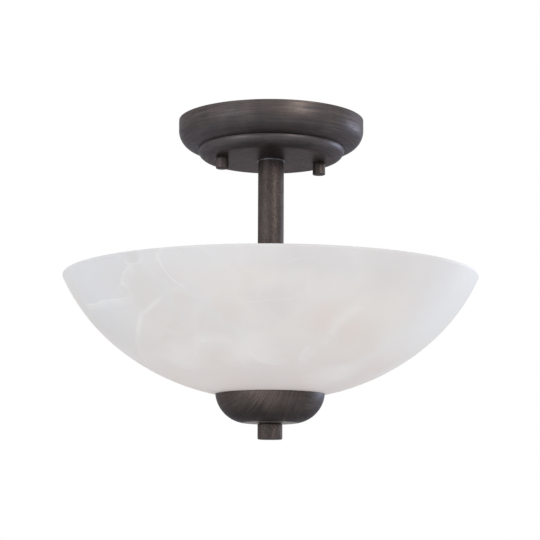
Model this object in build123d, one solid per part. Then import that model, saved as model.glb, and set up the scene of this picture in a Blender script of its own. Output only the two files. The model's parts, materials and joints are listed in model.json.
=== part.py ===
from build123d import *
import math
import os

# A ceiling light with a glass bowl: z = 0 is the ceiling plane and everything hangs below it.
# The two canopy studs and the two lamps lie along X. All sizes are in millimetres.

# Clearances
thread_clearance = 0.05
slide_clearance = 0.3
glass_gap = 0.3

# Threads: lamp pipe (1/8-27) and canopy studs (8-32)
pipe_radius = 4.85
pipe_bore_radius = 3.3
stud_radius = 2.08

# Nuts and washers that fit the lamp pipe and the studs
pipe_nut_across_flats = 14.3
pipe_nut_height = 3.2
stud_nut_across_flats = 8.7
stud_nut_height = 3.2
nut_chamfer_width = 0.4
nut_chamfer_height = 0.8
pipe_end_past_nut = 0.9
lock_washer_radius = 8.0
lock_washer_thickness = 1.2

# Mounting plate: a flat cross, the stud arm along X and the slotted arm along Y
plate_thickness = 2.0
plate_arm_width = 20.0
plate_corner_radius = 4.0
stud_spacing = 80.8
stud_end_margin = 11.6
hanger_hole_radius = 5.2
box_screw_spacing = 79.4
slot_end_margin = 16.3
box_slot_length = 14.3
box_slot_width = 4.8
ground_screw_offset = 20.0
ground_screw_radius = 2.4
ground_screw_head_radius = 4.6
ground_screw_head_height = 2.4
ground_screw_slot_depth = 1.2
ground_screw_edge = 0.6
stud_end_inset = 0.2

# Canopy: straight side, quarter-round corner, then a rounded step down to a flat floor
canopy_radius = 74.2
canopy_side_height = 8.2
canopy_corner_radius = 15.0
canopy_step_radius = 58.7
canopy_step_straight = 0.7
canopy_step_rounding = 8.2
canopy_floor_radius = 48.0
canopy_wall = 1.0

# Knob nuts on the canopy studs
knob_radius = 5.1
knob_height = 8.4
knob_edge = 0.4
knob_washer_radius = 4.7
knob_washer_thickness = 0.5
knob_engagement = 5.9
knob_bore_spare = 0.5

# Stem tube between its two check rings
stem_radius = 10.36
stem_wall = 1.0
stem_length = 94.1
check_ring_radius = 10.9
check_ring_thickness = 0.9

# Cluster housing: a box that opens at +Y, with a screwed cover there
housing_width = 29.0
housing_depth = 32.0
housing_height = 36.0
housing_wall = 1.5
housing_corner_radius = 4.0
cover_thickness = 1.5
cover_post_radius = 2.8
cover_post_length = 5.5
cover_screw_radius = 1.4
cover_screw_length = 5.0
cover_screw_head_radius = 2.7
cover_screw_head_height = 1.8
screw_slot_width = 0.8
screw_slot_depth = 0.9

# Lamp sockets, along X: a hub on the nipple, a wiring chamber and a threaded shell
lamp_axis_drop = 18.0
nipple_reach_in = 4.0
socket_hub_radius = 8.5
socket_hub_length = 4.0
socket_radius = 16.8
socket_back_thickness = 2.0
socket_chamber_radius = 13.0
socket_chamber_length = 4.0
socket_floor_thickness = 2.0
socket_shell_depth = 31.0
socket_lip = 1.0
screw_shell_radius = 13.08
screw_shell_wall = 0.4
screw_shell_hole_radius = 5.6
screw_shell_tail_offset = 7.0
screw_shell_tail_width = 3.6
screw_shell_tail_inset = 2.1
rivet_radius = 1.4
terminal_thickness = 0.8
center_contact_radius = 4.2

# Bulbs
bulb_radius = 30.0
bulb_glass_gap = 3.9
bulb_neck_radius = 12.6
bulb_neck_straight = 5.0
bulb_wall = 0.8
bulb_neck_insert = 4.5
bulb_base_radius = 13.03
bulb_base_wall = 0.38
bulb_base_height = 26.0
bulb_base_taper = 2.3
bulb_insulator_height = 4.2
bulb_insulator_radius = 11.2
bulb_contact_radius = 4.5
bulb_contact_height = 1.2
bulb_contact_edge = 0.6
bulb_contact_gap = 0.3

# Lower rod and the stop that the bowl is clamped against
rod_length_in_housing = 5.0
bowl_drop = 59.3
stop_washer_radius = 12.5
stop_washer_thickness = 1.2
stop_gasket_thickness = 1.5

# Glass bowl: two tangent arcs, steep at the rim and flat at the middle
bowl_radius = 165.2
bowl_rim_angle = 24.5
bowl_knee_angle = 50.85
bowl_upper_arc_radius = 153.6
bowl_flat_radius = 7.3
bowl_wall = 4.5
bowl_hole_radius = 7.0
bowl_rim_rounding = 1.4
bushing_flange_radius = 9.5
bushing_flange_thickness = 1.0

# Bottom cap and its gasket
cap_radius = 43.1
cap_depth = 22.6
cap_flat_radius = 18.0
cap_wall = 1.0
cap_gasket_width = 2.2
cap_gasket_height = 3.0

# Finial and its washer
finial_washer_radius = 8.8
finial_washer_thickness = 0.6
finial_radius = 9.77
finial_height = 12.0
finial_edge = 0.6
finial_engagement = 8.1
finial_bore_spare = 0.8

# Leads and twist-on connectors in the canopy
lead_radius = 1.0
lead_circle_radius = 2.1
lead_top_depth = 9.0
lead_end_gap = 0.3
lead_bend_radius = 7.0
lead_slope_bend_radius = 8.0
lead_crest_length = 11.5
ground_lead_radius = 0.8
ground_bend_radius = 6.0
ground_lead_swing = 23.2
ground_lead_setback = 7.5
lug_radius = 7.5
lug_thickness = 0.8
lug_angle = -40.0
lug_barrel_radius = 1.5
lug_barrel_start = 8.5
lug_barrel_length = 6.0
lug_barrel_sink = 0.2
connector_radius = 6.3
connector_tip_radius = 3.6
connector_length = 22.0
connector_skirt_length = 7.0
connector_mouth_radius = 5.2
connector_throat_radius = 2.6
connector_bore_length = 17.0
connector_spring_wall = 0.4
connector_mouth_distance = 31.0
ground_connector_offset = 28.0
ground_connector_mouth = 12.0
lead_grip_length = 11.0

# Plate arms, past the studs and past the box screw slots
stud_arm_length = stud_spacing + 2 * stud_end_margin
slot_arm_length = box_screw_spacing + 2 * slot_end_margin

# Heights, from the ceiling down
canopy_corner_bottom = -canopy_side_height - canopy_corner_radius
canopy_bottom = canopy_corner_bottom - canopy_step_straight - canopy_step_rounding
canopy_floor = canopy_bottom + canopy_wall
lug_bottom = canopy_floor + lock_washer_thickness
canopy_nut_bottom = lug_bottom + lug_thickness
pipe_top = canopy_nut_bottom + 2 * pipe_nut_height
knob_top = canopy_bottom - knob_washer_thickness
stud_bottom = knob_top - knob_engagement
stem_top = canopy_bottom - check_ring_thickness
stem_bottom = stem_top - stem_length
housing_top = stem_bottom - check_ring_thickness
housing_bottom = housing_top - housing_height
housing_middle = (housing_top + housing_bottom) / 2
pipe_nut_bottom = housing_top - housing_wall - pipe_nut_height
pipe_bottom = pipe_nut_bottom - pipe_end_past_nut
lamp_height = housing_top - lamp_axis_drop
rod_top = housing_bottom + housing_wall + rod_length_in_housing
bowl_bottom = housing_bottom - bowl_drop
bowl_floor = bowl_bottom + bowl_wall
stop_gasket_bottom = bowl_floor + glass_gap
stop_washer_bottom = stop_gasket_bottom + stop_gasket_thickness
stop_nut_bottom = stop_washer_bottom + stop_washer_thickness

# Bowl arcs: the lower one is tangent to the flat middle and meets the upper one at the knee
rim_turn = math.radians(bowl_rim_angle)
knee_turn = math.radians(bowl_knee_angle)
bowl_upper_arc_width = bowl_upper_arc_radius * (math.cos(rim_turn) - math.cos(knee_turn))
bowl_lower_arc_width = bowl_radius - bowl_upper_arc_width - bowl_flat_radius
bowl_lower_arc_radius = bowl_lower_arc_width / math.cos(knee_turn)
lower_center = (bowl_flat_radius, bowl_bottom + bowl_lower_arc_radius)
knee_radius = lower_center[0] + bowl_lower_arc_radius * math.cos(knee_turn)
knee_height = lower_center[1] - bowl_lower_arc_radius * math.sin(knee_turn)
upper_center = (
    knee_radius - bowl_upper_arc_radius * math.cos(knee_turn),
    knee_height + bowl_upper_arc_radius * math.sin(knee_turn),
)
bowl_rim_height = upper_center[1] - bowl_upper_arc_radius * math.sin(rim_turn)


def glass_height(radius):
    reach = radius - bowl_flat_radius
    return lower_center[1] - math.sqrt(bowl_lower_arc_radius**2 - reach**2)


# Heights under the bowl
cap_rim_height = glass_height(cap_radius) - glass_gap
cap_bottom = cap_rim_height - cap_depth
cap_floor = cap_bottom + cap_wall
finial_top = cap_bottom - finial_washer_thickness
finial_bottom = finial_top - finial_height
rod_bottom = finial_top - finial_engagement

# Distances from the stem's axis, out along a lamp
housing_half_width = housing_width / 2
nipple_start = housing_half_width - housing_wall - nipple_reach_in
socket_back = housing_half_width + socket_hub_length
chamber_start = socket_back + socket_back_thickness
chamber_end = chamber_start + socket_chamber_length
shell_start = chamber_end + socket_floor_thickness
socket_mouth = shell_start + socket_shell_depth
bulb_tip = shell_start + terminal_thickness + bulb_contact_gap
tail_plane = chamber_end - terminal_thickness
lead_end = tail_plane - lead_end_gap

# Bulb globes: as long as the bowl's upper arc leaves room for, with the flare tangent to neck and crown
bulb_room = bowl_upper_arc_radius - bowl_wall - bulb_glass_gap - bulb_radius
bulb_center = upper_center[0] + math.sqrt(bulb_room**2 - (lamp_height - upper_center[1]) ** 2)
bulb_neck_bottom = bulb_tip + bulb_base_height - bulb_neck_insert
bulb_flare_start = bulb_neck_bottom + bulb_neck_straight
bulb_flare_rise = bulb_center - bulb_flare_start
bulb_flare_excess = bulb_flare_rise**2 + bulb_neck_radius**2 - bulb_radius**2
bulb_flare_radius = bulb_flare_excess / (2 * (bulb_radius - bulb_neck_radius))

base = (Align.CENTER, Align.CENTER, Align.MIN)
quarter_turn = 90


def point(radius, height):
    return (radius, 0, height)


def arc(center, arc_radius, start_angle, end_angle):
    stations = []
    for angle in (start_angle, (start_angle + end_angle) / 2, end_angle):
        turn = math.radians(angle)
        radius = center[0] + arc_radius * math.cos(turn)
        stations.append(point(radius, center[1] + arc_radius * math.sin(turn)))
    return ThreePointArc(*stations)


def turned(edges):
    return revolve(make_face(edges), Axis.Z)


def turned_outline(corners):
    outline = Polyline(*[point(radius, height) for radius, height in corners], close=True)
    return turned(outline.edges())


def disc(radius, bottom, top):
    return Pos(0, 0, bottom) * Cylinder(radius, top - bottom, align=base)


def tube(outer_radius, inner_radius, bottom, top):
    return disc(outer_radius, bottom, top) - disc(inner_radius, bottom, top)


def hex_nut(across_flats, thread_radius, height):
    corner_radius = across_flats / 2 / math.cos(math.radians(30))
    blank = extrude(RegularPolygon(corner_radius, 6), height)
    round_blank = disc(corner_radius, 0, height)
    end_edges = round_blank.edges().filter_by(GeomType.CIRCLE)
    round_blank = chamfer(end_edges, nut_chamfer_width, nut_chamfer_height)
    return (blank & round_blank) - disc(thread_radius + thread_clearance, 0, height)


def pipe_nut(bottom):
    return Pos(0, 0, bottom) * hex_nut(pipe_nut_across_flats, pipe_radius, pipe_nut_height)


def at_stud(side, shape):
    return Pos(side * stud_spacing / 2, 0, 0) * shape


def along_lamp(side, shape):
    return Pos(0, 0, lamp_height) * Rot(0, side * 90, 0) * shape


def mounting_plate():
    stud_arm = RectangleRounded(stud_arm_length, plate_arm_width, plate_corner_radius)
    slot_arm = RectangleRounded(plate_arm_width, slot_arm_length, plate_corner_radius)
    outline = stud_arm + slot_arm
    outline -= Circle(hanger_hole_radius)
    outline -= Pos(-ground_screw_offset, 0) * Circle(ground_screw_radius + thread_clearance)
    for side in (-1, 1):
        outline -= Pos(side * stud_spacing / 2, 0) * Circle(stud_radius + thread_clearance)
        slot = SlotOverall(box_slot_length, box_slot_width, rotation=90)
        outline -= Pos(0, side * box_screw_spacing / 2) * slot
    return Pos(0, 0, -plate_thickness) * extrude(outline, plate_thickness)


def mounting_stud():
    return disc(stud_radius, stud_bottom, -stud_end_inset)


def stud_lock_nut():
    nut = hex_nut(stud_nut_across_flats, stud_radius, stud_nut_height)
    return Pos(0, 0, -plate_thickness - stud_nut_height) * nut


def ground_screw():
    head_bottom = -plate_thickness - ground_screw_head_height
    head = disc(ground_screw_head_radius, head_bottom, -plate_thickness)
    head = chamfer(head.edges().group_by(Axis.Z)[0], ground_screw_edge)
    slot_length = 2 * ground_screw_head_radius
    slot = Box(slot_length, screw_slot_width, ground_screw_slot_depth, align=base)
    screw = head + disc(ground_screw_radius, -plate_thickness, -stud_end_inset)
    return Pos(-ground_screw_offset, 0, 0) * (screw - Pos(0, 0, head_bottom) * slot)


def canopy_outline(offset):
    corner_center = (canopy_radius - canopy_corner_radius, -canopy_side_height)
    corner_radius = canopy_corner_radius - offset
    shelf = canopy_corner_bottom + offset
    step_top = canopy_bottom + canopy_step_rounding
    step_width = canopy_step_radius - canopy_floor_radius
    step_curve = Plane.XZ * EllipticalCenterArc(
        (canopy_floor_radius, step_top),
        step_width - offset,
        canopy_step_rounding - offset,
        start_angle=270,
        arc_size=quarter_turn,
    )
    return [
        Line(point(canopy_radius - offset, 0), point(canopy_radius - offset, -canopy_side_height)),
        arc(corner_center, corner_radius, 0, -90),
        Line(point(corner_center[0], shelf), point(canopy_step_radius - offset, shelf)),
        Line(point(canopy_step_radius - offset, shelf), point(canopy_step_radius - offset, step_top)),
        step_curve,
    ]


def canopy():
    hole_radius = pipe_radius + slide_clearance
    edges = canopy_outline(0) + canopy_outline(canopy_wall)
    edges.append(Line(point(canopy_floor_radius, canopy_bottom), point(hole_radius, canopy_bottom)))
    edges.append(Line(point(hole_radius, canopy_bottom), point(hole_radius, canopy_floor)))
    edges.append(Line(point(hole_radius, canopy_floor), point(canopy_floor_radius, canopy_floor)))
    edges.append(Line(point(canopy_radius - canopy_wall, 0), point(canopy_radius, 0)))
    shell = turned(edges)
    stud_hole = disc(stud_radius + slide_clearance, canopy_bottom, canopy_floor)
    return shell - at_stud(-1, stud_hole) - at_stud(1, stud_hole)


def knob_washer():
    return tube(knob_washer_radius, stud_radius + slide_clearance, knob_top, canopy_bottom)


def knob_nut():
    bottom = knob_top - knob_height
    body = disc(knob_radius, bottom, knob_top)
    body = chamfer(body.edges().filter_by(GeomType.CIRCLE), knob_edge)
    bore_bottom = stud_bottom - knob_bore_spare
    return body - disc(stud_radius + thread_clearance, bore_bottom, knob_top)


def check_ring(bottom):
    return tube(check_ring_radius, pipe_radius + slide_clearance, bottom, bottom + check_ring_thickness)


def stem_tube():
    return tube(stem_radius, stem_radius - stem_wall, stem_bottom, stem_top)


def threaded_pipe():
    return tube(pipe_radius, pipe_bore_radius, pipe_bottom, pipe_top)


def cover_screw_places():
    inset = housing_wall + cover_post_radius - thread_clearance
    across = housing_width / 2 - inset
    down = housing_height / 2 - inset
    return [(-across, housing_middle + down), (across, housing_middle - down)]


def along_depth(x, height, y_start, y_end, radius):
    bar = Cylinder(radius, y_end - y_start, align=base)
    return Pos(x, y_start, height) * Rot(-90, 0, 0) * bar


def housing_block(width, height, corner_radius, y_start, y_end):
    face = Plane(origin=(0, y_start, housing_middle), x_dir=(1, 0, 0), z_dir=(0, 1, 0))
    return extrude(face * RectangleRounded(width, height, corner_radius), y_end - y_start)


def cluster_housing():
    back = -housing_depth / 2
    front = housing_depth / 2 - cover_thickness
    inner_width = housing_width - 2 * housing_wall
    inner_height = housing_height - 2 * housing_wall
    inner_corner = housing_corner_radius - housing_wall
    shell = housing_block(housing_width, housing_height, housing_corner_radius, back, front)
    shell -= housing_block(inner_width, inner_height, inner_corner, back + housing_wall, front)
    post_start = front - cover_post_length
    for x, height in cover_screw_places():
        shell += along_depth(x, height, post_start, front, cover_post_radius)
        shell -= along_depth(x, height, post_start, front, cover_screw_radius + thread_clearance)
    shell -= disc(pipe_radius + slide_clearance, housing_top - housing_wall, housing_top)
    shell -= disc(pipe_radius + slide_clearance, housing_bottom, housing_bottom + housing_wall)
    wall_hole = disc(pipe_radius + slide_clearance, housing_half_width - housing_wall, housing_half_width)
    return shell - along_lamp(-1, wall_hole) - along_lamp(1, wall_hole)


def cluster_cover():
    front = housing_depth / 2
    inner = front - cover_thickness
    plate = housing_block(housing_width, housing_height, housing_corner_radius, inner, front)
    for x, height in cover_screw_places():
        plate -= along_depth(x, height, inner, front, cover_screw_radius + slide_clearance)
    return plate


def cluster_cover_screw(x, height):
    front = housing_depth / 2
    head_end = front + cover_screw_head_height
    screw = along_depth(x, height, front - cover_screw_length, front, cover_screw_radius)
    screw += along_depth(x, height, front, head_end, cover_screw_head_radius)
    slot_length = 2 * cover_screw_head_radius
    slot = Box(slot_length, screw_slot_depth, screw_slot_width)
    return screw - Pos(x, head_end - screw_slot_depth / 2, height) * slot


def socket_nipple():
    return tube(pipe_radius, pipe_bore_radius, nipple_start, socket_back)


def socket_lock_nut():
    return pipe_nut(housing_half_width - housing_wall - pipe_nut_height)


def socket_body():
    shell_radius = screw_shell_radius + screw_shell_wall + thread_clearance
    outline = [
        (pipe_radius + thread_clearance, housing_half_width),
        (socket_hub_radius, housing_half_width),
        (socket_hub_radius, socket_back),
        (socket_radius - socket_lip, socket_back),
        (socket_radius, socket_back + socket_lip),
        (socket_radius, socket_mouth - socket_lip),
        (socket_radius - socket_lip, socket_mouth),
        (shell_radius, socket_mouth),
        (shell_radius, shell_start),
        (rivet_radius + thread_clearance, shell_start),
        (rivet_radius + thread_clearance, chamber_end),
        (socket_chamber_radius, chamber_end),
        (socket_chamber_radius, chamber_start),
        (pipe_radius + thread_clearance, chamber_start),
    ]
    tail_hole = disc(rivet_radius + thread_clearance, chamber_end, shell_start)
    return turned_outline(outline) - Pos(0, screw_shell_tail_offset, 0) * tail_hole


def socket_shell():
    outer_radius = screw_shell_radius + screw_shell_wall
    flange_top = shell_start + screw_shell_wall
    shell = tube(outer_radius, screw_shell_radius, shell_start, socket_mouth - socket_lip)
    shell += tube(outer_radius, screw_shell_hole_radius, shell_start, flange_top)
    shell += Pos(0, screw_shell_tail_offset, 0) * disc(rivet_radius, tail_plane, flange_top)
    tail_end = screw_shell_tail_offset + screw_shell_tail_width / 2
    tail_length = tail_end - screw_shell_tail_inset
    tail = Box(screw_shell_tail_width, tail_length, terminal_thickness, align=base)
    return shell + Pos(0, screw_shell_tail_inset + tail_length / 2, tail_plane) * tail


def socket_contact():
    rivet = disc(rivet_radius, lead_end + lead_end_gap, shell_start)
    return rivet + disc(center_contact_radius, shell_start, shell_start + terminal_thickness)


def bulb_outline(offset):
    neck_radius = bulb_neck_radius - offset
    flare_center = (bulb_neck_radius + bulb_flare_radius, bulb_flare_start)
    meeting_angle = math.degrees(math.atan2(bulb_flare_rise, flare_center[0]))
    flare = arc(flare_center, bulb_flare_radius + offset, 180, 180 - meeting_angle)
    crown = arc((0, bulb_center), bulb_radius - offset, -meeting_angle, 90)
    return [Line(point(neck_radius, bulb_neck_bottom), point(neck_radius, bulb_flare_start)), flare, crown]


def bulb_globe():
    outer = bulb_outline(0)
    inner = bulb_outline(bulb_wall)
    mouth_corners = [point(bulb_neck_radius - inset, bulb_neck_bottom) for inset in (bulb_wall, 0)]
    mouth = Line(*mouth_corners)
    crown = bulb_center + bulb_radius
    wall_on_axis = Line(point(0, crown - bulb_wall), point(0, crown))
    return turned(outer + inner + [mouth, wall_on_axis])


def bulb_base():
    inner_radius = bulb_base_radius - bulb_base_wall
    taper_start = bulb_tip + bulb_insulator_height
    taper_end = taper_start + bulb_base_taper
    top = bulb_tip + bulb_base_height
    return turned_outline([
        (bulb_base_radius, top),
        (bulb_base_radius, taper_end),
        (bulb_insulator_radius, taper_start),
        (bulb_insulator_radius - bulb_base_wall, taper_start),
        (inner_radius, taper_end),
        (inner_radius, top),
    ])


def bulb_insulator():
    bottom = bulb_tip + bulb_contact_height
    return turned_outline([
        (0, bottom),
        (bulb_contact_radius, bottom),
        (bulb_insulator_radius, bulb_tip + bulb_insulator_height),
        (0, bulb_tip + bulb_insulator_height),
    ])


def bulb_contact():
    button = disc(bulb_contact_radius, bulb_tip, bulb_tip + bulb_contact_height)
    return chamfer(button.edges().group_by(Axis.Z)[0], bulb_contact_edge)


def lower_rod():
    return disc(pipe_radius, rod_bottom, rod_top)


def stop_ring(bottom, thickness):
    return tube(stop_washer_radius, pipe_radius + slide_clearance, bottom, bottom + thickness)


def glass_bowl():
    inner_rim_reach = bowl_upper_arc_radius * math.sin(rim_turn) / (bowl_upper_arc_radius - bowl_wall)
    inner_rim_angle = math.degrees(math.asin(inner_rim_reach))
    inner_upper_radius = bowl_upper_arc_radius - bowl_wall
    inner_lower_radius = bowl_lower_arc_radius - bowl_wall
    inner_rim_radius = upper_center[0] + inner_upper_radius * math.cos(math.radians(inner_rim_angle))
    edges = [
        Line(point(inner_rim_radius, bowl_rim_height), point(bowl_radius, bowl_rim_height)),
        arc(upper_center, bowl_upper_arc_radius, -bowl_rim_angle, -bowl_knee_angle),
        arc(lower_center, bowl_lower_arc_radius, -bowl_knee_angle, -90),
        Line(point(bowl_flat_radius, bowl_bottom), point(bowl_hole_radius, bowl_bottom)),
        Line(point(bowl_hole_radius, bowl_bottom), point(bowl_hole_radius, bowl_floor)),
        Line(point(bowl_hole_radius, bowl_floor), point(bowl_flat_radius, bowl_floor)),
        arc(lower_center, inner_lower_radius, -90, -bowl_knee_angle),
        arc(upper_center, inner_upper_radius, -bowl_knee_angle, -inner_rim_angle),
    ]
    shell = turned(edges)
    rim_edges = shell.edges().filter_by(GeomType.CIRCLE).group_by(Axis.Z)[-1]
    return fillet(rim_edges, bowl_rim_rounding)


def bowl_bushing():
    sleeve_radius = bowl_hole_radius - thread_clearance
    bore_radius = pipe_radius + slide_clearance
    sleeve = tube(sleeve_radius, bore_radius, bowl_bottom, bowl_floor)
    flange = tube(bushing_flange_radius, bore_radius, bowl_bottom - bushing_flange_thickness, bowl_bottom)
    return sleeve + flange


def cap_gasket():
    outer_radius = cap_radius - 2 * cap_wall - slide_clearance
    top = glass_height(outer_radius - cap_gasket_width)
    return tube(outer_radius, outer_radius - cap_gasket_width, top - cap_gasket_height, top)


def bottom_cap():
    side_width = cap_radius - cap_flat_radius
    side_radius = (side_width**2 + cap_depth**2) / (2 * cap_depth)
    center = (cap_flat_radius, cap_bottom + side_radius)
    rim_rise = center[1] - cap_rim_height
    outer_angle = math.degrees(math.asin(rim_rise / side_radius))
    inner_radius = side_radius - cap_wall
    inner_angle = math.degrees(math.asin(rim_rise / inner_radius))
    inner_rim = center[0] + inner_radius * math.cos(math.radians(inner_angle))
    hole_radius = pipe_radius + slide_clearance
    return turned([
        Line(point(inner_rim, cap_rim_height), point(cap_radius, cap_rim_height)),
        arc(center, side_radius, -outer_angle, -90),
        Line(point(cap_flat_radius, cap_bottom), point(hole_radius, cap_bottom)),
        Line(point(hole_radius, cap_bottom), point(hole_radius, cap_floor)),
        Line(point(hole_radius, cap_floor), point(cap_flat_radius, cap_floor)),
        arc(center, inner_radius, -90, -inner_angle),
    ])


def finial_washer():
    return tube(finial_washer_radius, pipe_radius + slide_clearance, finial_top, cap_bottom)


def finial():
    body = disc(finial_radius, finial_bottom, finial_top)
    body = chamfer(body.edges().filter_by(GeomType.CIRCLE), finial_edge)
    bore_bottom = rod_bottom - finial_bore_spare
    return body - disc(pipe_radius + thread_clearance, bore_bottom, finial_top)


def lead(route, bends, wire_radius):
    path = FilletPolyline(*route, radius=bends)
    section = Plane(origin=path @ 0, z_dir=path % 0) * Circle(wire_radius)
    wire = sweep(section, path=path)
    expected = math.pi * wire_radius**2 * path.length
    print("lead length", round(path.length, 1), "mm, volume share", round(wire.volume / expected, 4))
    return wire


def connector_height():
    return canopy_floor + connector_radius + slide_clearance


def lamp_lead(side, pole):
    inset = lead_circle_radius / math.sqrt(2)
    top = -lead_top_depth
    drop = top - connector_height()
    crest_end = inset + lead_crest_length
    slope_end = crest_end + drop
    tip = connector_mouth_distance + lead_grip_length
    in_connector = side * (lead_radius + thread_clearance)
    route = [
        (side * lead_end, pole * inset, lamp_height),
        (side * inset, pole * inset, lamp_height),
        (side * inset, pole * inset, top),
        (in_connector, pole * crest_end, top),
        (in_connector, pole * slope_end, connector_height()),
        (in_connector, pole * tip, connector_height()),
    ]
    bends = [lead_bend_radius, lead_bend_radius, lead_slope_bend_radius, lead_slope_bend_radius]
    return lead(route, bends, lead_radius)


def lug_barrel_height():
    return lug_bottom + lug_barrel_radius - lug_barrel_sink


def ground_lug():
    ring = tube(lug_radius, pipe_radius + slide_clearance, lug_bottom, lug_bottom + lug_thickness)
    barrel_end = lug_barrel_start + lug_barrel_length
    barrel = Pos(lug_barrel_start, 0, lug_barrel_height()) * Rot(0, 90, 0) * tube(
        lug_barrel_radius, ground_lead_radius + thread_clearance, 0, lug_barrel_length
    )
    neck_end = barrel_end - lug_barrel_length / 2
    neck_length = neck_end - pipe_radius - 2 * slide_clearance
    neck = Box(neck_length, 2 * lug_barrel_radius, lug_thickness, align=(Align.MAX, Align.CENTER, Align.MIN))
    neck = Pos(neck_end, 0, lug_bottom) * neck
    bore = Pos(lug_barrel_start, 0, lug_barrel_height()) * Rot(0, 90, 0) * disc(
        ground_lead_radius + thread_clearance, 0, lug_barrel_length
    )
    return Rot(0, 0, lug_angle) * (ring + neck + barrel - bore)


def ground_lead():
    turn = math.radians(lug_angle)
    start = lug_barrel_start + thread_clearance
    side = ground_connector_offset
    halfway = (lug_barrel_height() + connector_height()) / 2
    route = [
        (start * math.cos(turn), start * math.sin(turn), lug_barrel_height()),
        (ground_lead_swing * math.cos(turn), ground_lead_swing * math.sin(turn), lug_barrel_height()),
        (side, -ground_lead_setback, halfway),
        (side, ground_connector_mouth + lead_grip_length, connector_height()),
    ]
    return lead(route, [ground_bend_radius, ground_bend_radius], ground_lead_radius)


def connector_places():
    height = connector_height()
    places = [Pos(0, side * connector_mouth_distance, height) * Rot(-90 * side, 0, 0) for side in (1, -1)]
    places.append(Pos(ground_connector_offset, ground_connector_mouth, height) * Rot(-90, 0, 0))
    return places


def wire_connectors():
    shell = turned_outline([
        (connector_mouth_radius, 0),
        (connector_radius, 0),
        (connector_radius, connector_skirt_length),
        (connector_tip_radius, connector_length),
        (0, connector_length),
        (0, connector_bore_length),
        (connector_throat_radius, connector_bore_length),
    ])
    return Compound(children=[place * shell for place in connector_places()])


def connector_springs():
    mouth = connector_mouth_radius - thread_clearance
    throat = connector_throat_radius - thread_clearance
    end = connector_bore_length - thread_clearance
    spring = turned_outline([
        (mouth, 0),
        (throat, end),
        (throat - connector_spring_wall, end),
        (mouth - connector_spring_wall, 0),
    ])
    return Compound(children=[place * spring for place in connector_places()])


build = {
    "mounting_plate": mounting_plate(),
    "ground_screw": ground_screw(),
    "canopy": canopy(),
    "canopy_lock_washer": tube(lock_washer_radius, pipe_radius + slide_clearance, canopy_floor, lug_bottom),
    "canopy_hex_nut": pipe_nut(canopy_nut_bottom),
    "threaded_pipe": threaded_pipe(),
    "upper_check_ring": check_ring(stem_top),
    "stem_tube": stem_tube(),
    "lower_check_ring": check_ring(housing_top),
    "housing_pipe_nut": pipe_nut(pipe_nut_bottom),
    "cluster_housing": cluster_housing(),
    "cluster_cover": cluster_cover(),
    "lower_rod": lower_rod(),
    "rod_lock_nut_upper": pipe_nut(housing_bottom + housing_wall),
    "rod_lock_nut_lower": pipe_nut(housing_bottom - pipe_nut_height),
    "bowl_stop_nut": pipe_nut(stop_nut_bottom),
    "bowl_stop_washer": stop_ring(stop_washer_bottom, stop_washer_thickness),
    "bowl_stop_gasket": stop_ring(stop_gasket_bottom, stop_gasket_thickness),
    "glass_bowl": glass_bowl(),
    "bowl_bushing": bowl_bushing(),
    "cap_gasket": cap_gasket(),
    "bottom_cap": bottom_cap(),
    "finial_washer": finial_washer(),
    "finial": finial(),
    "ground_lug": ground_lug(),
    "ground_lead": ground_lead(),
    "wire_connectors": wire_connectors(),
    "connector_springs": connector_springs(),
}

for (side_name, side), screw_place in zip((("left", -1), ("right", 1)), cover_screw_places()):
    build["mounting_stud_" + side_name] = at_stud(side, mounting_stud())
    build["stud_lock_nut_" + side_name] = at_stud(side, stud_lock_nut())
    build["knob_washer_" + side_name] = at_stud(side, knob_washer())
    build["knob_nut_" + side_name] = at_stud(side, knob_nut())
    build["cluster_cover_screw_" + side_name] = cluster_cover_screw(*screw_place)
    build["socket_nipple_" + side_name] = along_lamp(side, socket_nipple())
    build["socket_lock_nut_" + side_name] = along_lamp(side, socket_lock_nut())
    build["socket_body_" + side_name] = along_lamp(side, socket_body())
    build["socket_shell_" + side_name] = along_lamp(side, socket_shell())
    build["socket_contact_" + side_name] = along_lamp(side, socket_contact())
    build["bulb_globe_" + side_name] = along_lamp(side, bulb_globe())
    build["bulb_base_" + side_name] = along_lamp(side, bulb_base())
    build["bulb_insulator_" + side_name] = along_lamp(side, bulb_insulator())
    build["bulb_contact_" + side_name] = along_lamp(side, bulb_contact())
    build["hot_lead_" + side_name] = lamp_lead(side, 1)
    build["neutral_lead_" + side_name] = lamp_lead(side, -1)

os.makedirs("parts", exist_ok=True)
for name, shape in build.items():
    export_step(shape, "parts/" + name + ".step")
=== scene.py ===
import json
import math

import bpy
import numpy as np
from mathutils import Matrix, Vector

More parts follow.
